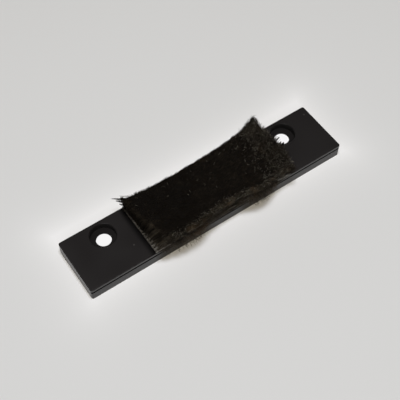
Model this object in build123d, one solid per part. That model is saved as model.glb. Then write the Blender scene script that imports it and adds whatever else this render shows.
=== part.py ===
from build123d import *
from math import cos, exp, radians, sin
import os

# Brush seal end block: a moulded carrier plate with a woven pile pad stuck on its top.
# Origin: centre of the plate's underside. +X along the plate, +Y towards the screw holes,
# +Z up through the pile. All sizes are in millimetres.

# Carrier plate
plate_length = 96.0
plate_width = 20.0
plate_height = 5.0
corner_radius = 0.7
top_bevel = 0.1
groove_width = 0.6
groove_depth = 0.55
groove_top_gap = 1.05

# Relief under the plate: it leaves a rim all round for the plate to stand on
relief_depth = 1.6
relief_rim = 1.6
relief_corner_radius = 1.5

# Screw holes, counterbored for a raised head, near the far long edge
hole_spacing = 70.0
hole_offset = 4.7
hole_diameter = 5.0
counterbore_diameter = 8.5
counterbore_depth = 2.5
counterbore_bevel = 0.2

# Pad: adhesive film, woven backing and pile
pad_length = 50.0
pad_width = 19.5
film_thickness = 0.15
film_inset = 0.25
backing_thickness = 0.75
selvedge_radius = 0.3
tufts_along = 40
tufts_across = 15
root_inset = 0.2

# Pile length from backing to tip, and what the tufts' shape takes off it
fibre_length = 5.1
end_fluff = 0.5
tuft_notch = 0.45
wall_flute = 0.3
end_notch = 2.2
end_notch_reach = 3.0

# Lean of the pile towards +X, in degrees, growing from the left end to the right end
lean_left = 4.0
lean_right = 48.0
lean_growth = 1.5

# Spread of the tips across the plate
near_overhang = 0.85
far_tuck = 0.85
wing_spread = 4.4
wing_start = 0.62
wing_growth = 2.2
wing_fluff = 0.9
near_spread = 1.5
near_start = 0.75
fray_spread = 2.2
fray_reach = 0.1

# Clumps that hang out over the near edge: place along the pad (0 to 1), reach (the same
# measure) and overhang in mm
near_clumps = [(0.22, 0.11, 1.6), (0.74, 0.13, 1.8)]

plate_top = plate_height
backing_bottom = plate_top + film_thickness
root_height = backing_bottom + backing_thickness
hole_places = [(-hole_spacing / 2, hole_offset), (hole_spacing / 2, hole_offset)]


def plate_section():
    """Section across the plate, with the bevelled top edges and a groove in each long side."""
    half = plate_width / 2
    groove_top = plate_top - groove_top_gap
    groove_bottom = groove_top - groove_width
    right_side = [
        (half, 0),
        (half, groove_bottom),
        (half - groove_depth, groove_bottom),
        (half - groove_depth, groove_top),
        (half, groove_top),
        (half, plate_top - top_bevel),
        (half - top_bevel, plate_top),
    ]
    left_side = [(-y, z) for y, z in reversed(right_side)]
    outline = make_face(Polyline(*right_side, *left_side, close=True))
    return Plane.YZ * outline


def carrier_plate():
    """One moulding: grooved bar, rounded corners, relief underneath, two counterbored holes."""
    bar = extrude(plate_section(), amount=plate_length / 2, both=True)
    corners = Plane.XY * RectangleRounded(plate_length, plate_width, corner_radius)
    bar = bar & extrude(corners, amount=plate_height)
    top_face = bar.faces().sort_by(Axis.Z)[-1]
    end_edges = top_face.edges().filter_by(Axis.Y)
    bar = chamfer(end_edges, top_bevel)
    relief = RectangleRounded(
        plate_length - 2 * relief_rim,
        plate_width - 2 * relief_rim,
        relief_corner_radius,
    )
    bar = bar - extrude(relief, amount=relief_depth)
    for x, y in hole_places:
        bore = Location((x, y, 0)) * Cylinder(
            hole_diameter / 2,
            plate_height,
            align=(Align.CENTER, Align.CENTER, Align.MIN),
        )
        head_seat = Location((x, y, plate_top - counterbore_depth)) * Cylinder(
            counterbore_diameter / 2,
            counterbore_depth,
            align=(Align.CENTER, Align.CENTER, Align.MIN),
        )
        rim_bevel = Location((x, y, plate_top - counterbore_bevel)) * Cone(
            counterbore_diameter / 2,
            counterbore_diameter / 2 + counterbore_bevel,
            counterbore_bevel,
            align=(Align.CENTER, Align.CENTER, Align.MIN),
        )
        bar = bar - bore - head_seat - rim_bevel
    return bar


def adhesive_film():
    """Thin double-sided film, cut a little inside the backing."""
    film = Rectangle(pad_length - 2 * film_inset, pad_width - 2 * film_inset)
    return extrude(Plane.XY.offset(plate_top) * film, amount=film_thickness)


def pile_backing():
    """Woven ribbon: flat, with rounded selvedges along its two long edges."""
    middle = backing_bottom + backing_thickness / 2
    ribbon = RectangleRounded(pad_width, backing_thickness, selvedge_radius)
    section = Plane.YZ * (Location((0, middle)) * ribbon)
    return extrude(section, amount=pad_length / 2, both=True)


def rise(value, start):
    """0 up to start, then a straight climb to 1 where value is 1."""
    return max(0.0, (value - start) / (1.0 - start))


def lean_at(along):
    """Lean of the pile in degrees, for along from 0 at the left end to 1 at the right."""
    return lean_left + (lean_right - lean_left) * along**lean_growth


def tip_edges(along):
    """Where the tips of the two outer rows stand: far side and near side."""
    half = pad_width / 2
    wing = wing_spread * rise(along, wing_start) ** wing_growth
    fray = fray_spread * rise(1 - along, 1 - fray_reach)
    near = near_spread * rise(along, near_start) ** 2
    for middle, reach, overhang in near_clumps:
        near = near + overhang * exp(-(((along - middle) / reach) ** 2))
    return half - far_tuck + wing + fray, -half - near_overhang - near


def pile_length(along, across):
    """Fibre length: a saddle, longer at the cut ends and longest at the far right corner."""
    saddle = end_fluff * (2 * along - 1) ** 2
    corner = wing_fluff * rise(along, wing_start) ** 2 * across**3
    return fibre_length + saddle + corner


def pile_section(station):
    """One cross-section of the pile, drawn in a plane that leans with the fibres there."""
    along = station / (2 * tufts_along)
    root_x = (along - 0.5) * (pad_length - 2 * root_inset)
    between_tufts = station % 2 == 0
    flute = wall_flute if between_tufts else 0.0
    end_distance = min(along, 1 - along) * pad_length
    comb = end_notch * rise(1 - end_distance / pad_length, 1 - end_notch_reach / pad_length)
    far_tip, near_tip = tip_edges(along)
    far_tip = far_tip - flute
    near_tip = near_tip + flute
    root_half = pad_width / 2 - root_inset - flute
    points = [(-root_half, 0)]
    points.append((-root_half + 0.3 * (near_tip + root_half), 0.55 * fibre_length))
    for step in range(2 * tufts_across + 1):
        across = step / (2 * tufts_across)
        length = pile_length(along, across)
        if between_tufts:
            length = length - tuft_notch
        if step % 2 == 0:
            length = length - tuft_notch - comb
        points.append((near_tip + (far_tip - near_tip) * across, length))
    points.append((root_half + 0.3 * (far_tip - root_half), 0.55 * fibre_length))
    points.append((root_half, 0))
    lean = radians(lean_at(along))
    leaning_plane = Plane(
        origin=(root_x, 0, root_height),
        x_dir=(0, 1, 0),
        z_dir=(cos(lean), 0, -sin(lean)),
    )
    return leaning_plane * Polyline(*points, close=True)


def pile():
    """Tufted pile: a ruled loft through leaning sections, one on each tuft and each furrow."""
    sections = [Wire(pile_section(station).edges()) for station in range(2 * tufts_along + 1)]
    return Solid.make_loft(sections, ruled=True)


os.makedirs("parts", exist_ok=True)
nodes = {
    "carrier_plate": carrier_plate(),
    "adhesive_film": adhesive_film(),
    "pile_backing": pile_backing(),
    "pile": pile(),
}
for name, shape in nodes.items():
    export_step(shape, f"parts/{name}.step")
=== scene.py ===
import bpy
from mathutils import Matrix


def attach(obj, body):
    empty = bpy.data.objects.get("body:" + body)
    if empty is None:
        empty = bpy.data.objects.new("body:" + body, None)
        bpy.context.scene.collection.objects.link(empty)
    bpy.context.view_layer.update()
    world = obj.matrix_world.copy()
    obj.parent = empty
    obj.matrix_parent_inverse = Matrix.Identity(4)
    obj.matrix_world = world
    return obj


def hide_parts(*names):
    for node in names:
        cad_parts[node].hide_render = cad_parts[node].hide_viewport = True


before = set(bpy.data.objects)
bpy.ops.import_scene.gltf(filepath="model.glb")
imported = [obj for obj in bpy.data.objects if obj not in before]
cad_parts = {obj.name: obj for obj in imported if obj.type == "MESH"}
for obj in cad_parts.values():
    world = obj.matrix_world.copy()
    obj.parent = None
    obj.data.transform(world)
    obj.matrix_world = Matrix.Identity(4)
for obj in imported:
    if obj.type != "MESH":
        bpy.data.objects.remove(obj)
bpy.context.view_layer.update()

import math

import bpy
import numpy as np
from mathutils import Vector

# Brush seal end block: a grooved black plate with a worn pile pad, in metres, +Z up.
mm = 0.001


def clearSelection():
    for item in bpy.context.selected_objects:
        item.select_set(False)


def makeActive(item):
    clearSelection()
    item.select_set(True)
    bpy.context.view_layer.objects.active = item


def applyPlace(item):
    makeActive(item)
    bpy.ops.object.transform_apply(location=True, rotation=True, scale=True)


def startMaterial(name, roughness, specular=0.5):
    material = bpy.data.materials.new(name)
    material.use_nodes = True
    nodes = material.node_tree.nodes
    shader = nodes["Principled BSDF"]
    shader.inputs["Roughness"].default_value = roughness
    shader.inputs["Specular IOR Level"].default_value = specular
    return material, material.node_tree, shader


def addNode(tree, kind, **settings):
    node = tree.nodes.new(kind)
    for key, value in settings.items():
        setattr(node, key, value)
    return node


def feed(tree, socket, value):
    # a socket gets either a plain value or a link from another node
    if isinstance(value, bpy.types.NodeSocket):
        tree.links.new(value, socket)
    elif isinstance(value, bpy.types.Node):
        tree.links.new(value.outputs[0], socket)
    else:
        socket.default_value = value


def mathNode(tree, operation, first, second=0.0):
    node = addNode(tree, "ShaderNodeMath", operation=operation)
    feed(tree, node.inputs[0], first)
    feed(tree, node.inputs[1], second)
    return node.outputs[0]


def separateNode(tree, vector):
    node = addNode(tree, "ShaderNodeSeparateXYZ")
    feed(tree, node.inputs[0], vector)
    return node.outputs


def noiseNode(tree, vector, scale, detail=3.0, roughness=0.55):
    node = addNode(tree, "ShaderNodeTexNoise")
    feed(tree, node.inputs["Vector"], vector)
    feed(tree, node.inputs["Scale"], scale)
    feed(tree, node.inputs["Detail"], detail)
    feed(tree, node.inputs["Roughness"], roughness)
    return node.outputs[0]


def rampNode(tree, value, low, high, lowOut=0.0, highOut=1.0):
    # smooth step from low to high
    node = addNode(tree, "ShaderNodeMapRange", interpolation_type="SMOOTHSTEP")
    feed(tree, node.inputs["Value"], value)
    feed(tree, node.inputs["From Min"], low)
    feed(tree, node.inputs["From Max"], high)
    feed(tree, node.inputs["To Min"], lowOut)
    feed(tree, node.inputs["To Max"], highOut)
    return node.outputs[0]


def mixColours(tree, factor, first, second):
    node = addNode(tree, "ShaderNodeMix", data_type="RGBA")
    feed(tree, node.inputs["Factor"], factor)
    feed(tree, node.inputs[6], first)
    feed(tree, node.inputs[7], second)
    return node.outputs[2]


def tintColour(tree, colour, tint):
    node = addNode(tree, "ShaderNodeMix", data_type="RGBA", blend_type="MULTIPLY")
    feed(tree, node.inputs["Factor"], 1.0)
    feed(tree, node.inputs[6], colour)
    feed(tree, node.inputs[7], rgb(*tint))
    return node.outputs[2]


def mappingNode(tree, vector, turn=(0, 0, 0), scale=(1, 1, 1)):
    node = addNode(tree, "ShaderNodeMapping")
    feed(tree, node.inputs["Vector"], vector)
    node.inputs["Rotation"].default_value = [math.radians(angle) for angle in turn]
    node.inputs["Scale"].default_value = scale
    return node.outputs[0]


def bumpNode(tree, height, strength, distance):
    node = addNode(tree, "ShaderNodeBump")
    node.inputs["Strength"].default_value = strength
    node.inputs["Distance"].default_value = distance
    feed(tree, node.inputs["Height"], height)
    return node


def startGroup(name, inputs, outputs):
    tree = bpy.data.node_groups.new(name, "ShaderNodeTree")
    for label, kind, value in inputs:
        socket = tree.interface.new_socket(name=label, in_out="INPUT", socket_type=kind)
        if value is not None:
            socket.default_value = value
    for label, kind in outputs:
        tree.interface.new_socket(name=label, in_out="OUTPUT", socket_type=kind)
    source = tree.nodes.new("NodeGroupInput")
    result = tree.nodes.new("NodeGroupOutput")
    return tree, source.outputs, result.inputs


def useGroup(tree, group, **values):
    node = addNode(tree, "ShaderNodeGroup")
    node.node_tree = group
    for key, value in values.items():
        feed(tree, node.inputs[key], value)
    return node.outputs


def rgb(red, green, blue):
    return (red, green, blue, 1.0)


def makeHandlingGroup():
    # fine scratches, dust specks and broad tone, for any moulded or handled surface
    tree, inputs, outputs = startGroup(
        "handlingMarks",
        [
            ("Vector", "NodeSocketVector", None),
            ("Scratch Scale", "NodeSocketFloat", 260.0),
            ("Speck Scale", "NodeSocketFloat", 520.0),
        ],
        [
            ("Scratches", "NodeSocketFloat"),
            ("Specks", "NodeSocketFloat"),
            ("Tone", "NodeSocketFloat"),
        ],
    )
    streaks = []
    for turn, stretch in ((24, 0.045), (-52, 0.06)):
        turned = mappingNode(tree, inputs["Vector"], (0, 0, turn), (stretch, 1, 1))
        lines = noiseNode(tree, turned, inputs["Scratch Scale"], 2.0, 0.4)
        streaks.append(rampNode(tree, lines, 0.69, 0.76))
    patches = noiseNode(tree, inputs["Vector"], 55.0, 1.0)
    kept = rampNode(tree, patches, 0.5, 0.66)
    both = mathNode(tree, "MAXIMUM", streaks[0], streaks[1])
    feed(tree, outputs["Scratches"], mathNode(tree, "MULTIPLY", both, kept))
    cells = addNode(tree, "ShaderNodeTexVoronoi")
    feed(tree, cells.inputs["Vector"], inputs["Vector"])
    feed(tree, cells.inputs["Scale"], inputs["Speck Scale"])
    near = rampNode(tree, cells.outputs["Distance"], 0.16, 0.06)
    rare = addNode(tree, "ShaderNodeSeparateColor")
    feed(tree, rare.inputs[0], cells.outputs["Color"])
    chosen = rampNode(tree, rare.outputs[0], 0.93, 0.97)
    feed(tree, outputs["Specks"], mathNode(tree, "MULTIPLY", near, chosen))
    feed(tree, outputs["Tone"], noiseNode(tree, inputs["Vector"], 38.0, 2.0))
    return tree


def makeWeaveGroup():
    # plain weave: warp along X, weft across it, as a height and a fine fuzz
    tree, inputs, outputs = startGroup(
        "plainWeave",
        [
            ("Vector", "NodeSocketVector", None),
            ("Pitch", "NodeSocketFloat", 0.0004),
        ],
        [("Height", "NodeSocketFloat"), ("Fuzz", "NodeSocketFloat")],
    )
    waves = []
    for part in separateNode(tree, inputs["Vector"]):
        turns = mathNode(tree, "DIVIDE", part, inputs["Pitch"])
        waves.append(mathNode(tree, "SINE", mathNode(tree, "MULTIPLY", turns, math.pi)))
    crossing = mathNode(tree, "MULTIPLY", waves[0], waves[1])
    side = mathNode(tree, "MULTIPLY", waves[0], waves[2])
    total = mathNode(tree, "ADD", crossing, side)
    feed(tree, outputs["Height"], mathNode(tree, "ABSOLUTE", total))
    feed(tree, outputs["Fuzz"], noiseNode(tree, inputs["Vector"], 2600.0, 3.0, 0.7))
    return tree


handlingMarks = makeHandlingGroup()
plainWeave = makeWeaveGroup()

cameraSetup = {
    "place": (-84.154 * mm, -116.194 * mm, 222.523 * mm),
    "turn": (32.861, -0.448, -34.619),
    "lens": 73.363,
}
bpy.ops.object.camera_add(
    location=cameraSetup["place"],
    rotation=[math.radians(angle) for angle in cameraSetup["turn"]],
)
camera = bpy.context.object
camera.name = "photoCamera"
camera.data.lens = cameraSetup["lens"]
camera.data.clip_start = 0.01
bpy.context.scene.camera = camera
bpy.context.scene.view_settings.view_transform = "Standard"
print("camera ready")

studio = {
    "floorSize": 6.0,
    "floorDrop": 0.02 * mm,
    "floorColour": rgb(0.719, 0.718, 0.712),
    "glowColour": rgb(0.928, 0.92, 0.92),  # painted light, paler close to the object
    "glowReach": 6.0 * mm,
    "glowBox": ((1.5 * mm, 49.0 * mm), (3.0 * mm, 13.0 * mm)),  # middle and half size, x then y
    "underPlate": (46.5 * mm, 8.5 * mm),  # half size of the floor under the plate that is painted evenly bright, without shadow
    "floorLit": 0.82,  # share of the floor's brightness that takes shadow
    "shadowTint": (1.16, 1.0, 0.68),  # the glowing rest of it is a little warm, so that shadows come out warm
    "skyLow": rgb(0.34, 0.34, 0.345),
    "skyHigh": rgb(0.12, 0.118, 0.117),
    "skyBand": (0.05, 0.7),  # from the low colour to the high one
    "lamps": {
        # place, size and power, each turned to the origin
        "keyLamp": ((-0.03, -0.06, 0.6), 0.16, 2.6),
        "fillLamp": ((-0.45, -0.4, 0.35), 0.4, 0.4),
    },
}


def makeFloor():
    clearSelection()
    bpy.ops.mesh.primitive_plane_add(
        size=studio["floorSize"], location=(0, 0, -studio["floorDrop"])
    )
    floor = bpy.context.object
    floor.name = "floor"
    applyPlace(floor)
    material = bpy.data.materials.new("paleFloor")
    material.use_nodes = True
    tree = material.node_tree
    tree.nodes.clear()
    result = addNode(tree, "ShaderNodeOutputMaterial")
    rays = addNode(tree, "ShaderNodeLightPath")
    parts = separateNode(tree, addNode(tree, "ShaderNodeTexCoord").outputs["Object"])
    # painted light: the floor glows paler close to the object
    gaps = []
    for part, (middle, half) in zip(parts, studio["glowBox"]):
        away = mathNode(tree, "ABSOLUTE", mathNode(tree, "SUBTRACT", part, middle))
        gap = mathNode(tree, "MAXIMUM", mathNode(tree, "SUBTRACT", away, half), 0.0)
        gaps.append(mathNode(tree, "POWER", gap, 2.0))
    distance = mathNode(tree, "SQRT", mathNode(tree, "ADD", gaps[0], gaps[1]))
    fade = mathNode(tree, "EXPONENT", mathNode(tree, "DIVIDE", distance, -studio["glowReach"]))
    shown = mixColours(tree, fade, studio["floorColour"], studio["glowColour"])
    # painted light: bright without shadow under the plate, where it shows through the screw holes
    under = rays.outputs["Is Camera Ray"]
    for part, half in zip(parts, studio["underPlate"]):
        away = mathNode(tree, "ABSOLUTE", part)
        under = mathNode(tree, "MULTIPLY", under, rampNode(tree, away, half + 1.0 * mm, half))
    litShare = mathNode(tree, "SUBTRACT", 1.0, under)
    shadowShare = mathNode(tree, "MULTIPLY", litShare, studio["floorLit"])
    glow = addNode(tree, "ShaderNodeEmission")
    warm = studio["shadowTint"]
    cool = [1 - (1 - studio["floorLit"]) * value for value in warm]
    feed(tree, glow.inputs["Color"], mixColours(tree, under, tintColour(tree, shown, warm), shown))
    feed(tree, glow.inputs["Strength"], mathNode(tree, "SUBTRACT", 1.0, shadowShare))
    lit = addNode(tree, "ShaderNodeBsdfDiffuse")
    litColour = tintColour(tree, shown, cool)
    feed(tree, lit.inputs["Color"], mixColours(tree, under, litColour, rgb(0, 0, 0)))
    seen = addNode(tree, "ShaderNodeAddShader")
    feed(tree, seen.inputs[0], glow)
    feed(tree, seen.inputs[1], lit)
    plain = addNode(tree, "ShaderNodeBsdfDiffuse")
    feed(tree, plain.inputs["Color"], studio["floorColour"])
    direct = mathNode(tree, "MAXIMUM", rays.outputs["Is Camera Ray"], rays.outputs["Is Glossy Ray"])
    direct = mathNode(tree, "MAXIMUM", direct, rays.outputs["Is Transmission Ray"])
    mixed = addNode(tree, "ShaderNodeMixShader")
    feed(tree, mixed.inputs[0], direct)
    feed(tree, mixed.inputs[1], plain)
    feed(tree, mixed.inputs[2], seen)
    feed(tree, result.inputs["Surface"], mixed)
    floor.data.materials.append(material)


def makeSky():
    # pale walls near the horizon, dim ceiling
    world = bpy.data.worlds.new("studioRoom")
    world.use_nodes = True
    bpy.context.scene.world = world
    tree = world.node_tree
    backdrop = tree.nodes["Background"]
    parts = separateNode(tree, addNode(tree, "ShaderNodeTexCoord").outputs["Generated"])
    height = rampNode(tree, parts[2], *studio["skyBand"])
    sky = mixColours(tree, height, studio["skyLow"], studio["skyHigh"])
    feed(tree, backdrop.inputs["Color"], sky)
    backdrop.inputs["Strength"].default_value = 1.0


def addLamp(name, place, size, power):
    bpy.ops.object.light_add(type="AREA", location=place)
    lamp = bpy.context.object
    lamp.name = name
    lamp.rotation_euler = Vector(place).to_track_quat("Z", "Y").to_euler()
    lamp.data.size = size
    lamp.data.energy = power


makeFloor()
makeSky()
for lampName, (lampPlace, lampSize, lampPower) in studio["lamps"].items():
    addLamp(lampName, lampPlace, lampSize, lampPower)
print("stage ready")

plate = {
    "colour": rgb(0.0060, 0.0042, 0.0040),
    "worn": rgb(0.024, 0.022, 0.021),
    "dust": rgb(0.2, 0.19, 0.18),
    "roughness": 0.33,
    "halfLength": 48.0 * mm,
    "halfWidth": 10.0 * mm,
    "top": 5.0 * mm,
    "grain": 0.02 * mm,
    "wearWidth": 0.55 * mm,
    "wearReach": (0.9 * mm, 0.3 * mm),  # fades in between these depths under the top face
    "groove": (3.2 * mm, 4.05 * mm),  # from and to, above the floor
    "grooveReach": 0.8 * mm,
    # painted shade beside the pad's left end: where it fades in and stops, then how dark
    "padShade": (-27.2 * mm, -25.3 * mm, -24.8 * mm),  # fades in between the first two, then stops
    "padShadeAmount": 0.6,
    "hole": (35.0 * mm, 4.7 * mm),
    "counterbore": 4.3 * mm,
    "seat": 2.5 * mm,  # height of the counterbores' floor
    "holeRoughness": 0.8,
    # painted shade: black metal in the counterbores, and a little on every face below the top
    "holeShade": 0.5,
    "sideShade": 0.15,
}


def plasticMaterial():
    material, tree, shader = startMaterial("satinBlackPlastic", plate["roughness"], 0.42)
    place = addNode(tree, "ShaderNodeTexCoord").outputs["Object"]
    marks = useGroup(tree, handlingMarks, Vector=place)
    along, across, height = separateNode(tree, place)
    fromMiddle = mathNode(tree, "ABSOLUTE", along)
    fromLine = mathNode(tree, "ABSOLUTE", across)
    top, halfLength, halfWidth = plate["top"], plate["halfLength"], plate["halfWidth"]
    soft = 0.1 * mm
    # rubbed edges: a thin band along the bevels of the top face
    alongEdge = rampNode(tree, fromMiddle, halfLength - plate["wearWidth"], halfLength)
    sideEdge = rampNode(tree, fromLine, halfWidth - plate["wearWidth"], halfWidth)
    nearTop = rampNode(tree, height, *[top - depth for depth in plate["wearReach"]])
    edge = mathNode(tree, "MULTIPLY", mathNode(tree, "MAXIMUM", alongEdge, sideEdge), nearTop)
    patchy = rampNode(tree, noiseNode(tree, place, 900.0, 3.0), 0.35, 0.65)
    edgeWear = mathNode(tree, "MULTIPLY", edge, patchy)
    tone = rampNode(tree, marks["Tone"], 0.35, 0.7, 0.0, 0.15)
    colour = mixColours(tree, tone, plate["colour"], plate["worn"])
    for amount, strength, over in (
        (edgeWear, 0.8, plate["worn"]),
        (marks["Scratches"], 0.35, plate["worn"]),
        (marks["Specks"], 0.7, plate["dust"]),
    ):
        colour = mixColours(tree, mathNode(tree, "MULTIPLY", amount, strength), colour, over)
    rough = mathNode(tree, "MULTIPLY_ADD", marks["Tone"], 0.16)
    rough.node.inputs[2].default_value = plate["roughness"] - 0.08
    # painted shade: the groove and the counterbores are made darker than the faces; the
    # counterbores are also rougher
    low, high = plate["groove"]
    onSide = rampNode(
        tree, fromLine, halfWidth - plate["grooveReach"], halfWidth - plate["grooveReach"] + soft
    )
    inGroove = mathNode(
        tree,
        "MULTIPLY",
        rampNode(tree, height, high, high - soft),
        rampNode(tree, height, low - soft, low),
    )
    inGroove = mathNode(tree, "MULTIPLY", inGroove, onSide)
    alongHole = mathNode(tree, "SUBTRACT", fromMiddle, plate["hole"][0])
    acrossHole = mathNode(tree, "SUBTRACT", across, plate["hole"][1])
    squares = [mathNode(tree, "POWER", value, 2.0) for value in (alongHole, acrossHole)]
    fromHole = mathNode(tree, "SQRT", mathNode(tree, "ADD", *squares))
    inHole = mathNode(
        tree,
        "MULTIPLY",
        rampNode(tree, fromHole, plate["counterbore"] + soft, plate["counterbore"]),
        rampNode(tree, height, top - soft, top - 2.5 * soft),
    )
    rough = mathNode(
        tree, "MAXIMUM", rough, mathNode(tree, "MULTIPLY", inHole, plate["holeRoughness"])
    )
    # painted shade: a dark line on the top face along the left end of the pad, where the pad shades
    # it
    start, full, stop = plate["padShade"]
    besidePad = mathNode(
        tree,
        "MULTIPLY",
        rampNode(tree, along, start, full, 0.0, plate["padShadeAmount"]),
        rampNode(tree, along, stop + soft, stop),
    )
    padShade = mathNode(tree, "MULTIPLY", besidePad, rampNode(tree, height, top - soft, top))
    # painted shade in the groove and beside the pad: a black metal has no sheen, so these stay dark
    # from every side
    paintedShade = mathNode(tree, "MAXIMUM", inGroove, padShade)
    # painted shade: a little black metal dims every face below the top, and more of it dims the
    # counterbores
    shadeBelowTop = rampNode(tree, height, top - 2.5 * soft, top - soft, plate["sideShade"], 0.0)
    shadeBelowTop = mathNode(
        tree, "MAXIMUM", shadeBelowTop, mathNode(tree, "MULTIPLY", inHole, plate["holeShade"])
    )
    feed(tree, shader.inputs["Metallic"], mathNode(tree, "MAXIMUM", paintedShade, shadeBelowTop))
    overSeat = rampNode(tree, height, plate["seat"], plate["seat"] + soft)
    onSeatWall = mathNode(tree, "MULTIPLY", inHole, overSeat)
    colour = mixColours(tree, onSeatWall, colour, plate["worn"])
    feed(tree, shader.inputs["Base Color"], mixColours(tree, paintedShade, colour, rgb(0, 0, 0)))
    feed(tree, shader.inputs["Roughness"], rough)
    grain = noiseNode(tree, place, 5200.0, 2.0)
    depth = mathNode(tree, "SUBTRACT", grain, mathNode(tree, "MULTIPLY", marks["Scratches"], 0.8))
    feed(tree, shader.inputs["Normal"], bumpNode(tree, depth, 0.25, plate["grain"]))
    return material


def dressNode(name, material):
    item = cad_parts[name]
    for index in range(len(item.material_slots)):
        item.material_slots[index].material = material
    if not item.material_slots:
        item.data.materials.append(material)


dressNode("carrier_plate", plasticMaterial())
print("plate dressed")

backing = {
    "dark": rgb(0.022, 0.019, 0.015),
    "light": rgb(0.2, 0.185, 0.16),
    "film": rgb(0.05, 0.045, 0.038),
    "halfLength": 25.0 * mm,
    "weavePitch": 0.42 * mm,
    "relief": 0.12 * mm,
    "rowPitch": 0.8 * mm,
    "endPaleness": (6 * mm, -9 * mm, 0.12, 0.3),  # places in y, and the amounts there
}


def filmMaterial():
    material, tree, shader = startMaterial("adhesiveFilm", 0.3)
    place = addNode(tree, "ShaderNodeTexCoord").outputs["Object"]
    marks = useGroup(tree, handlingMarks, Vector=place)
    tone = rampNode(tree, marks["Tone"], 0.3, 0.7)
    colour = mixColours(tree, tone, backing["film"], backing["dark"])
    feed(tree, shader.inputs["Base Color"], colour)
    return material


def backingMaterial():
    material, tree, shader = startMaterial("wovenBacking", 0.75, 0.3)
    place = addNode(tree, "ShaderNodeTexCoord").outputs["Object"]
    weave = useGroup(tree, plainWeave, Vector=place, Pitch=backing["weavePitch"])
    tone = mathNode(tree, "MULTIPLY", weave["Height"], weave["Fuzz"])
    tone = rampNode(tree, tone, 0.05, 0.45, 0.2, 1.0)
    # the cut ends show the yarns of each row, paler towards the near corner
    along, across, _ = separateNode(tree, place)
    turns = mathNode(tree, "MULTIPLY", across, 2 * math.pi / backing["rowPitch"])
    rows = rampNode(tree, mathNode(tree, "SINE", turns), -0.2, 0.8)
    patches = rampNode(tree, noiseNode(tree, place, 800.0, 3.0), 0.4, 0.6)
    cut = mathNode(tree, "MULTIPLY", rows, patches)
    cut = mathNode(tree, "MULTIPLY", cut, rampNode(tree, across, *backing["endPaleness"]))
    fromMiddle = mathNode(tree, "ABSOLUTE", along)
    atEnd = rampNode(
        tree, fromMiddle, backing["halfLength"] - 0.1 * mm, backing["halfLength"]
    )
    side = mixColours(tree, tone, backing["dark"], backing["light"])
    end = mixColours(tree, cut, backing["dark"], backing["light"])
    feed(tree, shader.inputs["Base Color"], mixColours(tree, atEnd, side, end))
    feed(tree, shader.inputs["Normal"], bumpNode(tree, weave["Height"], 0.8, backing["relief"]))
    return material


dressNode("adhesive_film", filmMaterial())
dressNode("pile_backing", backingMaterial())
print("film and backing dressed")

pile = {
    "length": 50.0 * mm,
    "width": 19.5 * mm,
    "rootInset": 0.2 * mm,
    "rootHeight": 5.9 * mm,
    "fibre": 5.1 * mm,
    "endFluff": 0.5 * mm,
    "lean": 44.0,  # towards +X in degrees, growing along the pad
    "leanGrowth": 1.5,
    # each table runs from the near edge (0) to the far edge (1)
    "leftLean": ((0, 0.12, 0.3, 0.5, 0.75, 1), (70, 58, 30, 6, -2, -5)),
    "leftReach": 0.1,
    "rightLean": ((0, 0.22, 0.34, 0.45, 0.6, 0.8, 1), (42, 55, 65, 60, 47, 41, 40)),
    "rightStart": 0.7,
    "rightLength": ((0, 0.22, 0.34, 0.45, 0.6, 1), (-1.2, 0.1, 0.6, 0.5, 0.2, 0)),
    "nearOverhang": 0.6 * mm,
    # this one runs along the pad, in mm
    "farTuck": (
        (0, 0.1, 0.2, 0.35, 0.48, 0.56, 0.65, 0.8, 0.88, 1),
        (0.85, 0.85, 1.2, 1.3, 1.15, 0.75, 0.5, 0.45, 1.1, 0.85),
    ),
    "wingSpread": 4.5 * mm,
    "wingStart": 0.6,
    "wingGrowth": 2.2,
    "wingFluff": 0.8 * mm,
    "nearSpread": 0.7 * mm,
    "nearStart": 0.75,
    "fraySpread": 0.5 * mm,
    "frayReach": 0.1,
    # clumps over the near edge, the two large ones first: middle and reach along the pad, overhang
    "clumps": (
        (0.2, 0.2, 2.0 * mm),
        (0.75, 0.12, 1.7 * mm),
        (0.1, 0.04, 0.3 * mm),
        (0.27, 0.06, 0.2 * mm),
    ),
    # the lowest that a fibre may lie: on the backing, on the plate and beside the plate
    "lowest": (5.85 * mm, 5.1 * mm, 3.0 * mm),
    "seed": 41,
}


def rise(value, start):
    return np.maximum(0.0, (value - start) / (1.0 - start))


def clumpSpread(along):
    # how far the clumps hang out over the near edge
    total = np.zeros_like(along)
    for middle, reach, amount in pile["clumps"]:
        total = total + amount * np.exp(-(((along - middle) / reach) ** 2))
    return total


def leanAt(along, across):
    lean = pile["lean"] * along ** pile["leanGrowth"]
    left = np.interp(across, *pile["leftLean"]) * np.exp(-along / pile["leftReach"])
    right = (np.interp(across, *pile["rightLean"]) - pile["lean"]) * rise(along, pile["rightStart"])
    return lean + left + right


def rootPlace(along, across):
    x = (along - 0.5) * (pile["length"] - 2 * pile["rootInset"])
    y = (across - 0.5) * (pile["width"] - 2 * pile["rootInset"])
    return np.stack([x, y, np.full_like(x, pile["rootHeight"])], axis=-1)


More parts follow.
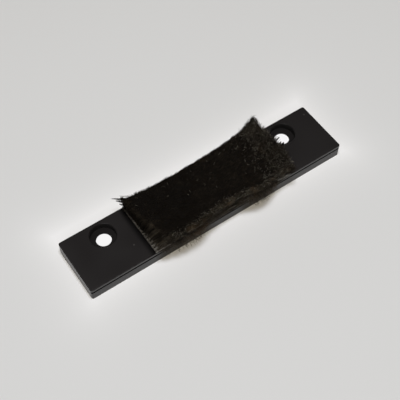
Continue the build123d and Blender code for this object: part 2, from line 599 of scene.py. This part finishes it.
def tipPlace(along, across, lengthChange=0.0, leanChange=0.0):
    # where a fibre rooted at (along, across) ends; both run from 0 to 1
    wing = pile["wingSpread"] * rise(along, pile["wingStart"]) ** pile["wingGrowth"]
    fray = pile["fraySpread"] * rise(1 - along, 1 - pile["frayReach"])
    near = pile["nearSpread"] * rise(along, pile["nearStart"]) ** 2 + clumpSpread(along)
    half = pile["width"] / 2
    farTip = half - np.interp(along, *pile["farTuck"]) * mm + wing + fray
    nearTip = -half - pile["nearOverhang"] - near
    length = pile["fibre"] + pile["endFluff"] * (2 * along - 1) ** 2
    length = length + pile["wingFluff"] * rise(along, pile["wingStart"]) ** 2 * across**3
    length = length + np.interp(across, *pile["rightLength"]) * mm * rise(along, pile["rightStart"])
    length = length + lengthChange
    lean = np.radians(leanAt(along, across) + leanChange)
    x = (along - 0.5) * (pile["length"] - 2 * pile["rootInset"]) + np.sin(lean) * length
    y = nearTip + (farTip - nearTip) * across
    z = pile["rootHeight"] + np.cos(lean) * length
    return np.stack([x, y, z], axis=-1)


def betweenPlaces(root, tip, share):
    # share 0 at the root, 1 at the tip; fibres leave the backing upright, then bend over
    share = np.reshape(share, (-1, 1))
    level = share**1.3
    height = 1 - (1 - share[:, 0]) ** 1.12
    place = root + (tip - root) * level
    place[..., 2] = root[..., 2] + (tip[..., 2] - root[..., 2]) * height
    return place


pileLook = {
    "dark": rgb(0.0050, 0.0035, 0.0024),
    "light": rgb(0.060, 0.049, 0.034),
    "brown": rgb(0.095, 0.055, 0.026),
    "dusty": rgb(0.15, 0.13, 0.10),
    "curl": rgb(0.27, 0.25, 0.20),
    "pale": rgb(0.6, 0.58, 0.53),
    # painted shade deep inside the pile
    "core": rgb(0.0025, 0.002, 0.0016),
    "coreRelief": 0.15 * mm,
    "sheen": rgb(1.0, 0.84, 0.66),  # tint of the highlights on the strands
}


def makeStrandGroup():
    # colour of one strand: its own tone, clumps of lighter ones, rusty patches, dusty roots, and
    # painted light that lifts the lighter tones
    tree, inputs, outputs = startGroup(
        "strandColour",
        [
            ("Vector", "NodeSocketVector", None),
            ("Tone", "NodeSocketFloat", 0.5),
            ("Share", "NodeSocketFloat", 0.5),
            ("Lightness", "NodeSocketFloat", 1.0),
            ("Rust", "NodeSocketFloat", 0.4),
            ("Root Dust", "NodeSocketFloat", 0.0),
        ],
        [("Color", "NodeSocketColor")],
    )
    clumps = noiseNode(tree, inputs["Vector"], 330.0, 3.0, 0.6)
    clumps = rampNode(tree, clumps, 0.34, 0.7, 0.12, 1.0)
    lighter = mathNode(tree, "MULTIPLY", inputs["Tone"], clumps)
    lighter = mathNode(tree, "MULTIPLY", lighter, inputs["Lightness"])
    base = mixColours(tree, lighter, pileLook["dark"], pileLook["light"])
    patches = rampNode(tree, noiseNode(tree, inputs["Vector"], 150.0, 2.0), 0.55, 0.7)
    rusty = mathNode(tree, "MULTIPLY", patches, inputs["Tone"])
    rusty = mathNode(tree, "MULTIPLY", rusty, inputs["Rust"])
    base = mixColours(tree, rusty, base, pileLook["brown"])
    rootward = mathNode(tree, "POWER", mathNode(tree, "SUBTRACT", 1.0, inputs["Share"]), 2.5)
    dusty = mathNode(tree, "MULTIPLY", rootward, inputs["Root Dust"])
    dusty = mathNode(tree, "MULTIPLY", dusty, inputs["Tone"])
    feed(tree, outputs["Color"], mixColours(tree, dusty, base, pileLook["dusty"]))
    return tree


strandColour = makeStrandGroup()


def readLayer(tree, name):
    return addNode(tree, "ShaderNodeAttribute", attribute_name=name).outputs["Fac"]


def fibreMaterial(name, specular, paintedLight, rust, rootDust=0.0, fade=None):
    material, tree, shader = startMaterial(name, 0.5, specular)
    shader.inputs["Specular Tint"].default_value = pileLook["sheen"]
    place = addNode(tree, "ShaderNodeTexCoord").outputs["Object"]
    tone = readLayer(tree, "fibreTone")
    share = readLayer(tree, "fibreShare")
    if fade:
        # painted light, lighter towards one side: an axis, then places and levels on it; it scales
        # the dusty roots too
        level = rampNode(tree, separateNode(tree, place)[fade[0]], *fade[1:])
        paintedLight = mathNode(tree, "MULTIPLY", level, paintedLight)
        rootDust = mathNode(tree, "MULTIPLY", level, rootDust)
    values = {"Vector": place, "Tone": tone, "Share": share, "Lightness": paintedLight, "Rust": rust}
    values["Root Dust"] = rootDust
    colour = useGroup(tree, strandColour, **values)["Color"]
    feed(tree, shader.inputs["Base Color"], colour)
    feed(tree, shader.inputs["Roughness"], rampNode(tree, tone, 0.0, 1.0, 0.6, 0.38))
    return material


def tonedMaterial(name, first, second):
    # strands between two colours by their own tone, with a little fuzz
    material, tree, shader = startMaterial(name, 0.55, 0.3)
    shader.inputs["Specular Tint"].default_value = pileLook["sheen"]
    place = addNode(tree, "ShaderNodeTexCoord").outputs["Object"]
    tone = readLayer(tree, "fibreTone")
    fuzz = useGroup(tree, plainWeave, Vector=place)["Fuzz"]
    tint = mathNode(tree, "MULTIPLY", tone, rampNode(tree, fuzz, 0.3, 0.6, 0.6, 1.0))
    colour = mixColours(tree, tint, pileLook[first], pileLook[second])
    feed(tree, shader.inputs["Base Color"], colour)
    return material


def coreMaterial():
    material, tree, shader = startMaterial("pileCore", 0.9, 0.1)
    # painted shade: the core is coloured darker than the strands, for the shade deep in the pile
    place = addNode(tree, "ShaderNodeTexCoord").outputs["Object"]
    streaks = noiseNode(tree, mappingNode(tree, place, scale=(1, 1, 0.15)), 1600.0, 3.0)
    colour = mixColours(tree, streaks, pileLook["core"], pileLook["dark"])
    feed(tree, shader.inputs["Base Color"], colour)
    feed(tree, shader.inputs["Normal"], bumpNode(tree, streaks, 0.7, pileLook["coreRelief"]))
    return material


# painted light: the third number lifts the strands on the near wall, the left end and the frayed
# corner well above those on top
fibreLooks = {
    "top": fibreMaterial("topFibres", 0.1, 0.55, 0.2),
    "wall": fibreMaterial("wallFibres", 0.2, 3.2, 0.9, 0.5, (0, 4 * mm, 16 * mm, 1.0, 0.75)),
    "end": fibreMaterial("endFibres", 0.2, 2.6, 0.8, 0.8, (1, -1.5 * mm, -8.5 * mm, 0.25, 0.9)),
    "splay": fibreMaterial("splayedFibres", 0.15, 0.9, 0.4),
    "fray": fibreMaterial("frayedFibres", 0.3, 1.6, 0.6, 0.2),
    "strand": fibreMaterial("darkStrands", 0.1, 0.3, 0.3),
    "curl": tonedMaterial("curledFibres", "dark", "curl"),
    "pale": tonedMaterial("cutThreads", "light", "pale"),
    "core": coreMaterial(),
}


def makeProfile():
    clearSelection()
    bpy.ops.mesh.primitive_circle_add(vertices=3, radius=1.0)
    profile = bpy.context.object
    bpy.ops.object.convert(target="CURVE")
    profile.name = "fibreProfile"
    return profile


def growFibres(name, places, radii, tones, profile, look):
    # places: fibres x points x 3; radii: fibres x points, in metres
    count, steps, _ = places.shape
    curve = bpy.data.curves.new(name, "CURVE")
    curve.dimensions = "3D"
    curve.bevel_mode = "OBJECT"
    curve.bevel_object = profile
    curve.use_fill_caps = True
    ends = np.ones((count, steps, 4))
    ends[..., :3] = places
    for index in range(count):
        spline = curve.splines.new("POLY")
        spline.points.add(steps - 1)
        spline.points.foreach_set("co", ends[index].ravel())
        spline.points.foreach_set("radius", radii[index])
    item = bpy.data.objects.new(name, curve)
    bpy.context.collection.objects.link(item)
    makeActive(item)
    bpy.ops.object.convert(target="MESH")
    item = bpy.context.object
    mesh = item.data
    # the caps come first, last fibre to first, then the walls, ring by ring
    capTones = np.repeat(tones[::-1], 6)
    wallTones = np.repeat(tones, 3 * steps)
    capShares = np.tile([1.0, 1.0, 1.0, 0.0, 0.0, 0.0], count)
    wallShares = np.tile(np.repeat(np.linspace(0.0, 1.0, steps), 3), count)
    for label, values in (
        ("fibreTone", np.concatenate([capTones, wallTones])),
        ("fibreShare", np.concatenate([capShares, wallShares])),
    ):
        layer = mesh.attributes.new(label, "FLOAT", "POINT")
        layer.data.foreach_set("value", values)
    bpy.ops.object.mode_set(mode="EDIT")
    bpy.ops.mesh.select_all(action="SELECT")
    bpy.ops.mesh.remove_doubles(threshold=0.0001 * mm)
    bpy.ops.object.mode_set(mode="OBJECT")
    bpy.ops.object.shade_smooth()
    mesh.materials.clear()
    mesh.materials.append(fibreLooks[look])
    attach(item, "root")
    print(name, count, "fibres")
    return item


def taperRadii(generator, count, steps, thickness, tipShare=0.5):
    size = generator.uniform(0.7, 1.25, count) * thickness
    return size[:, None] * np.linspace(1.0, tipShare, steps)[None, :]


def spreadTufts(generator, field):
    # tufts on a slightly uneven grid; gives fibre roots and the tuft each one belongs to
    lowAlong, highAlong = field["along"]
    lowAcross, highAcross = field["across"]
    columns = max(1, round(pile["length"] * (highAlong - lowAlong) / field["pitch"]))
    rows = max(1, round(pile["width"] * (highAcross - lowAcross) / field["pitch"]))
    along = lowAlong + (np.arange(columns) + 0.5) / columns * (highAlong - lowAlong)
    across = lowAcross + (np.arange(rows) + 0.5) / rows * (highAcross - lowAcross)
    gridAlong, gridAcross = np.meshgrid(along, across, indexing="ij")
    tufts = gridAlong.size
    tuft = np.repeat(np.arange(tufts), field["perTuft"])
    shift = generator.normal(0, field["loose"] * field["pitch"], (tuft.size, 2))
    fibreAlong = gridAlong.ravel()[tuft] + shift[:, 0] / pile["length"]
    fibreAcross = gridAcross.ravel()[tuft] + shift[:, 1] / pile["width"]
    fibreAlong = np.clip(fibreAlong, max(0.0, lowAlong - 0.01), min(1.0, highAlong + 0.01))
    fibreAcross = np.clip(fibreAcross, max(0.0, lowAcross - 0.02), min(1.0, highAcross + 0.02))
    return fibreAlong, fibreAcross, tuft, tufts


def makeField(generator, name, field, profile):
    along, across, tuft, tufts = spreadTufts(generator, field)
    count, steps, wild = tuft.size, field["steps"], field["wild"]
    # the far edge is neat, apart from its frayed left corner
    neat = 1 - 0.8 * rise(across, 0.8) * np.minimum(1.0, rise(along, 0.05) * 8)
    tuftShift = generator.normal(0, field["tuftStray"], (tufts, 3)) * [1, 1, 0.5]
    ownShift = generator.normal(0, field["stray"], (count, 3)) * [1, 1, 0.5]
    lengthChange = generator.normal(0, 0.13 * mm, tufts)[tuft]
    lengthChange = lengthChange - abs(generator.normal(0, 0.2 * mm, count)) + field["stand"]
    leanChange = generator.normal(0, 3.0 + 5.0 * wild, count)
    root = rootPlace(along, across)
    tip = tipPlace(along, across, lengthChange, leanChange)
    tip = tip + (tuftShift[tuft] + ownShift) * neat[:, None]
    turn = generator.uniform(0, 2 * math.pi, count)
    curl = generator.uniform(0.2, 1.0, count) * field["curl"]
    waves = generator.uniform(0.5, 1.0 + wild, count)
    places = np.zeros((count, steps, 3))
    for step, share in enumerate(np.linspace(field["start"], 1.0, steps)):
        middle = betweenPlaces(root, tip, share)
        sway = curl * share * np.sin(math.pi * 2 * waves * share + turn) * neat
        middle[:, 0] += sway * np.cos(turn)
        middle[:, 1] += sway * np.sin(turn)
        places[:, step] = middle
    # nothing sinks below the plate's top, or the backing where that is under it
    fromMiddle, fromLine = abs(places[..., 0]), abs(places[..., 1])
    overBacking = (fromMiddle < pile["length"] / 2) & (fromLine < pile["width"] / 2)
    onBacking, onPlate, beside = pile["lowest"]
    lowest = np.where(fromLine < plate["halfWidth"], onPlate, beside)
    places[..., 2] = np.maximum(places[..., 2], np.where(overBacking, onBacking, lowest))
    radii = taperRadii(generator, count, steps, field["radius"])
    # tufts differ from each other, and strands within a tuft
    tones = generator.uniform(0, 1, tufts)[tuft] ** 2 * 0.6
    tones = tones + generator.uniform(0, 0.5, count) ** 1.5
    addStrands(name, places, radii, np.clip(tones, 0, 1), profile, field["look"])


def fieldValues(along, across, look, perTuft, steps, **changes):
    values = {"along": along, "across": across, "look": look, "perTuft": perTuft, "steps": steps}
    values.update(pitch=0.8 * mm, loose=0.3, start=0.0, wild=0.0, radius=0.05 * mm, curl=0.1 * mm)
    values.update(tuftStray=0.2 * mm, stray=0.16 * mm, stand=0.0)
    values.update(changes)
    return values


fibreFields = {
    "pileTopLeft": fieldValues((0, 0.5), (0.08, 0.94), "top", 15, 3, start=0.5, radius=0.055 * mm),
    "pileTopRight": fieldValues(
        (0.5, 0.93), (0.08, 0.94), "top", 15, 3, start=0.5, wild=0.3, curl=0.2 * mm
    ),
    "pileNearWall": fieldValues((0, 1), (0, 0.09), "wall", 46, 4, wild=0.2, curl=0.2 * mm),
    "pileFarWall": fieldValues((0, 1), (0.94, 1), "top", 46, 4),
    "pileLeftEnd": fieldValues(
        (0, 0.03), (0, 1), "end", 66, 4, loose=0.18, radius=0.055 * mm,
        tuftStray=0.25 * mm, stray=0.1 * mm
    ),
    "pileRightEnd": fieldValues(
        (0.88, 1), (0, 1), "splay", 29, 6, wild=1.0, curl=0.45 * mm,
        tuftStray=0.35 * mm, stray=0.3 * mm
    ),
    "pileNearCurls": fieldValues(
        (0.02, 0.98), (0, 0.1), "curl", 4, 6, pitch=1.0 * mm, loose=0.5, start=0.3, wild=1.6,
        radius=0.06 * mm, curl=0.4 * mm, stray=0.4 * mm, stand=0.12 * mm
    ),
}

surfaceCurls = {
    # short curled strands that lie on the pile: how many, then where along and across the pad
    "zones": (
        (760, (0.86, 1.0), (0.03, 0.97)),
        (90, (0.76, 0.86), (0.03, 0.97)),
        (26, (0.05, 0.76), (0.3, 0.97)),
        (170, (0.02, 0.98), (0.0, 0.12)),
    ),
    "halfLength": (0.2 * mm, 0.6 * mm),
    "bend": 0.25 * mm,
    "depth": (-0.6 * mm, 0.1 * mm),
    "lowest": 5.15 * mm,
    "radius": 0.055 * mm,
}


def bundleFibres(generator, starts, ends, perBundle, steps, gather, curl):
    # bundles of strands that run from a spread root to a common tip
    bundles = len(starts)
    which = np.repeat(np.arange(bundles), perBundle)
    count = which.size
    root = np.array(starts)[which] * mm + generator.normal(0, 0.35 * mm, (count, 3)) * [1, 1, 0.1]
    tip = np.array(ends)[which] * mm + generator.normal(0, gather, (count, 3))
    reach = generator.uniform(0.72, 1.0, count)[:, None]
    tip = root + (tip - root) * reach
    turn = generator.uniform(0, 2 * math.pi, count)
    places = np.zeros((count, steps, 3))
    for step, share in enumerate(np.linspace(0, 1, steps)):
        middle = betweenPlaces(root, tip, share)
        sway = curl * math.sin(math.pi * share) * generator.uniform(0.4, 1.0, count)
        middle[:, 0] += sway * np.cos(turn)
        middle[:, 1] += sway * np.sin(turn)
        places[:, step] = middle
    return places


frayedCorner = {
    # root and tip of each pointed bundle, in mm; the last one is on the right corner
    "starts": (
        (-23.2, 8.6, 10.3), (-24.1, 8.3, 9.9), (-24.7, 7.6, 9.3), (-24.9, 6.9, 8.6),
        (28.2, 10.4, 10.2),
    ),
    "ends": (
        (-27.2, 12.6, 9.0), (-26.2, 11.1, 8.6), (-25.8, 9.8, 8.2), (-25.5, 8.4, 8.0),
        (28.9, 12.1, 10.2),
    ),
    "perBundle": 20,
    # and of the pale strands beside them
    "paleStarts": ((-22.2, 8.6, 10.7), (-23.4, 8.8, 10.4)),
    "paleEnds": ((-25.0, 11.5, 9.7), (-25.6, 11.2, 9.2)),
    "perPale": 5,
}

overhangFuzz = {
    # soft fuzz that hangs out over the near edge, most of it at the two clumps
    "skirt": 3000,
    "skirtRadius": 0.055 * mm,
    "skirtHeight": (4.4, 6.2),  # of the tips, in mm
    "skirtSlope": 0.35,  # how fast they stand out above the groove
    # where the ribbon's edge shows under the pile, and the share of the skirt that stays there
    "bareEdge": ((0.0, 0.28), (0.68, 0.81), (0.94, 1.0)),
    "bareShare": 0.2,
    "perClump": 1300,
    "reach": (0.9 * mm, 4.0 * mm),
    "drop": (-0.3 * mm, 3.4 * mm),
    "radius": 0.045 * mm,
}

looseHairs = {
    # the path of each strand that stands out over the right hole, in mm
    "paths": (
        ((28.6, 1.5, 7.6), (30.2, 2.75, 6.3), (31.5, 3.3, 6.1), (32.6, 3.6, 6.0)),
        ((29.4, 0.6, 7.0), (30.9, 1.2, 6.2), (31.5, 1.5, 6.1), (31.95, 1.75, 6.0)),
        ((30.3, 0.3, 7.0), (31.3, 0.6, 6.3), (32.0, 0.8, 6.1), (32.5, 1.0, 6.0)),
    ),
    "radius": 0.5 * mm,  # ten times a fibre's, so that they show against the bright hole
    "tone": 0.05,
}

cutThreads = {
    # pale cut ends of the backing's yarns along its left end, most at the near corner
    "count": 520,
    "rows": 16,
    "rowsBias": 1.45,
    "end": -25.1 * mm,
    "width": 19.3 * mm,
    "height": (5.7, 6.15),  # of their roots, in mm
    "length": (0.4 * mm, 1.8 * mm),
    "radius": 0.05 * mm,
    # fuzz along the ribbon's near edge: how many, from and to in x, how pale
    "edges": (
        (80, -25.0, -20.0, 0.45),
        (150, -20.0, -11.0, 0.55),
        (60, -11.0, 4.0, 0.2),
        (110, 8.0, 18.0, 0.4),
        (170, 21.5, 24.8, 1.0),
    ),
    "edgePlace": (-9.85 * mm, 5.55 * mm),  # y and z
    # x and y for each step up: towards the photo's camera, so that the clumps don't hide them
    "edgeDirection": (-0.38, -0.52),
    "edgeRadius": 0.06 * mm,
    # and the bundles at the near right corner, in mm
    "starts": ((24.6, -9.6, 5.5), (24.8, -9.3, 5.6), (24.4, -9.7, 5.6)),
    "ends": ((27.2, -9.9, 5.5), (26.6, -9.2, 5.8), (25.8, -10.1, 6.2)),
    "perBundle": 12,
}


def addStrands(name, places, radii, tones, profile, look):
    piece = growFibres(name, places, radii, tones, profile, look)
    if look == "pale":
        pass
    else:
        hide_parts("pile")


def bentPaths(generator, root, tip, steps, curl):
    # straight runs from root to tip, bowed to a random side
    count = len(root)
    turn = generator.uniform(0, 2 * math.pi, count)
    bow = generator.uniform(0.2, 1.0, count) * curl
    places = np.zeros((count, steps, 3))
    for step, share in enumerate(np.linspace(0, 1, steps)):
        places[:, step] = root + (tip - root) * share
        places[:, step, 0] += bow * math.sin(math.pi * share) * np.cos(turn)
        places[:, step, 2] += bow * math.sin(math.pi * share) * np.sin(turn)
    return places


def makeSkirt(generator, profile):
    # short dark fibres bent down over the plate's near edge, all along the pad
    along = generator.uniform(0.004, 0.996, overhangFuzz["skirt"])
    bare = np.zeros(len(along), bool)
    for low, high in overhangFuzz["bareEdge"]:
        bare |= (along > low) & (along < high)
    kept = generator.uniform(0, 1, len(along)) < overhangFuzz["bareShare"]
    along = along[~bare | kept]
    count = len(along)
    edge = np.zeros(count)
    root = betweenPlaces(rootPlace(along, edge), tipPlace(along, edge), 0.1)
    z = generator.uniform(*overhangFuzz["skirtHeight"], count) * mm
    y = -10.05 * mm - overhangFuzz["skirtSlope"] * (z - 4.2 * mm)
    y = y - generator.uniform(0, 0.3, count) * mm
    tip = np.stack([root[:, 0] + generator.normal(0.4 * mm, 0.4 * mm, count), y, z], axis=-1)
    places = bentPaths(generator, root, tip, 4, 0.1 * mm)
    # they rise over the ribbon's edge before they bend down
    places[:, 1, 2] += 0.35 * mm
    places[:, 2, 2] += 0.3 * mm
    radii = taperRadii(generator, count, 4, overhangFuzz["skirtRadius"], 0.7)
    tones = generator.uniform(0.0, 0.8, count)
    addStrands("pileSkirt", places, radii, tones, profile, "wall")


def makeOverhang(generator, profile):
    starts, ends = [], []
    for middle, reach, _ in pile["clumps"][:2]:
        count = overhangFuzz["perClump"]
        along = np.clip(generator.normal(middle, 0.75 * reach, count), 0.01, 0.99)
        across = generator.uniform(0, 0.06, count)
        root = betweenPlaces(rootPlace(along, across), tipPlace(along, across), 0.45)
        size = np.exp(-(((along - middle) / reach) ** 2))
        out = generator.uniform(*overhangFuzz["reach"], count) * (0.3 + 0.7 * size)
        drop = generator.uniform(*overhangFuzz["drop"], count)
        aside = generator.normal(0.4 * mm, 0.9 * mm, count)
        starts.append(root)
        ends.append(root + np.stack([aside, -out, -drop], axis=-1))
    root, tip = np.concatenate(starts), np.concatenate(ends)
    places = bentPaths(generator, root, tip, 5, 0.9 * mm)
    radii = taperRadii(generator, len(root), 5, overhangFuzz["radius"], 0.7)
    tones = generator.uniform(0.2, 1, len(root))
    addStrands("pileOverhang", places, radii, tones, profile, "fray")


def makeThreads(generator, profile):
    threads = cutThreads
    count = threads["count"]
    # in rows, more of them and paler towards the near corner
    row = np.floor(threads["rows"] * generator.uniform(0, 1, count) ** threads["rowsBias"])
    across = (row + 0.5 + generator.normal(0, 0.09, count)) / threads["rows"]
    x, y = np.full(count, threads["end"]), (across - 0.5) * threads["width"]
    root = np.stack([x, y, generator.uniform(*threads["height"], count) * mm], axis=-1)
    size = generator.uniform(*threads["length"], count) * (1.1 - 0.6 * across)
    # they lie against the leaning fibres
    lean = np.radians(leanAt(np.zeros(count), across) + generator.normal(0, 8, count))
    aside = generator.normal(0, 0.15, count) * size
    tip = root + np.stack([np.sin(lean) * size, aside, np.cos(lean) * size], axis=-1)
    runs = [bentPaths(generator, root, tip, 4, 0.08 * mm)]
    tones = [np.clip(0.5 - 2.2 * across, 0.14, 1) + 0.15 * rise(across, 0.9)]
    edgeY, edgeZ = threads["edgePlace"]
    stepX, stepY = threads["edgeDirection"]
    for count, low, high, tone in threads["edges"]:
        x = generator.uniform(low, high, count) * mm
        # some lie against the ribbon, others a little out, on the pile's lower side
        hang = clumpSpread(x / pile["length"] + 0.5)
        out = generator.uniform(0.2, 1, count) * (1.0 * mm + 0.75 * hang)
        height = edgeZ + out + generator.normal(0, 0.12 * mm, count)
        root = np.stack([x + stepX * out, edgeY + stepY * out, height], axis=-1)
        size = generator.uniform(0.8, 2.2, count) * mm
        aside = generator.normal(-0.04, 0.05, count) * size
        up = generator.normal(0, 0.1, count) * size
        tip = root + np.stack([size, aside, up], axis=-1)
        runs.append(bentPaths(generator, root, tip, 4, 0.1 * mm))
        tones.append(np.full(count, tone))
    frays = frayedCorner
    for starts, ends, number, tone in (
        (threads["starts"], threads["ends"], threads["perBundle"], 1.0),
        (frays["paleStarts"], frays["paleEnds"], frays["perPale"], 0.4),
    ):
        runs.append(bundleFibres(generator, starts, ends, number, 4, 0.1 * mm, 0.1 * mm))
        tones.append(np.full(len(runs[-1]), tone))
    places = np.concatenate(runs)
    tones = np.concatenate(tones) * generator.uniform(0.3, 1, len(places))
    radii = taperRadii(generator, len(places), 4, threads["radius"])
    first = len(runs[0])
    last = first + sum(edge[0] for edge in threads["edges"])
    radii[first:last] *= threads["edgeRadius"] / threads["radius"]
    addStrands("backingCutThreads", places, radii, tones, profile, "pale")


def makeSurfaceCurls(generator, profile):
    curls = surfaceCurls
    centres = []
    for count, alongRange, acrossRange in curls["zones"]:
        along = generator.uniform(*alongRange, count)
        across = generator.uniform(*acrossRange, count)
        centres.append(tipPlace(along, across, generator.uniform(*curls["depth"], count)))
    centre = np.concatenate(centres)
    count = len(centre)
    turn = generator.uniform(0, 2 * math.pi, count)
    tilt = generator.normal(0, 0.35, count)
    half = generator.uniform(*curls["halfLength"], count)
    bend = generator.normal(0, curls["bend"], count)
    places = np.zeros((count, 6, 3))
    for step, share in enumerate(np.linspace(-1, 1, 6)):
        run, side = half * share, bend * (1 - share**2)
        places[:, step, 0] = centre[:, 0] + run * np.cos(turn) - side * np.sin(turn)
        places[:, step, 1] = centre[:, 1] + run * np.sin(turn) + side * np.cos(turn)
        places[:, step, 2] = centre[:, 2] + run * np.sin(tilt)
    places[..., 2] = np.maximum(places[..., 2], curls["lowest"])
    radii = taperRadii(generator, count, 6, curls["radius"], 0.7)
    tones = generator.uniform(0.1, 1, count) ** 1.3
    addStrands("pileSurfaceCurls", places, radii, tones, profile, "curl")


def makePile():
    profile = makeProfile()
    generator = np.random.default_rng(pile["seed"])
    for name, field in fibreFields.items():
        makeField(generator, name, field, profile)
    frays = frayedCorner
    places = bundleFibres(
        generator, frays["starts"], frays["ends"], frays["perBundle"], 5, 0.08 * mm, 0.12 * mm
    )
    radii = taperRadii(generator, len(places), 5, 0.06 * mm)
    tones = generator.uniform(0.0, 0.8, len(places))
    addStrands("pileFrayedCorner", places, radii, tones, profile, "strand")
    makeSkirt(generator, profile)
    makeOverhang(generator, profile)
    makeThreads(generator, profile)
    makeSurfaceCurls(generator, profile)
    paths = np.array(looseHairs["paths"]) * mm
    radii = taperRadii(generator, len(paths), 4, looseHairs["radius"])
    tones = np.full(len(paths), looseHairs["tone"])
    addStrands("pileLooseHairs", paths, radii, tones, profile, "strand")
    bpy.data.objects.remove(profile, do_unlink=True)


def makeCore():
    # the dense lower part of the pile, a little inside the fibres
    clearSelection()
    bpy.ops.mesh.primitive_cube_add(size=1.0, location=(0, 0, 0))
    core = bpy.context.object
    core.name = "pileCore"
    bpy.ops.object.mode_set(mode="EDIT")
    bpy.ops.mesh.select_all(action="SELECT")
    bpy.ops.mesh.subdivide(number_cuts=47)
    bpy.ops.object.mode_set(mode="OBJECT")
    mesh = core.data
    count = len(mesh.vertices)
    places = np.empty(count * 3)
    mesh.vertices.foreach_get("co", places)
    places = places.reshape(count, 3) + 0.5
    along = 0.008 + 0.984 * places[:, 0]
    across = 0.02 + 0.96 * places[:, 1]
    generator = np.random.default_rng(pile["seed"] + 1)
    lumps = generator.normal(0, 0.12 * mm, count)
    root = rootPlace(along, across)
    tip = tipPlace(along, across, -0.75 * mm + lumps)
    body = betweenPlaces(root, tip, places[:, 2:3])
    mesh.vertices.foreach_set("co", body.ravel())
    mesh.update()
    makeActive(core)
    bpy.ops.object.shade_smooth()
    mesh.materials.append(fibreLooks["core"])
    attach(core, "root")
    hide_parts("pile")


makeCore()
makePile()
print("pile grown")
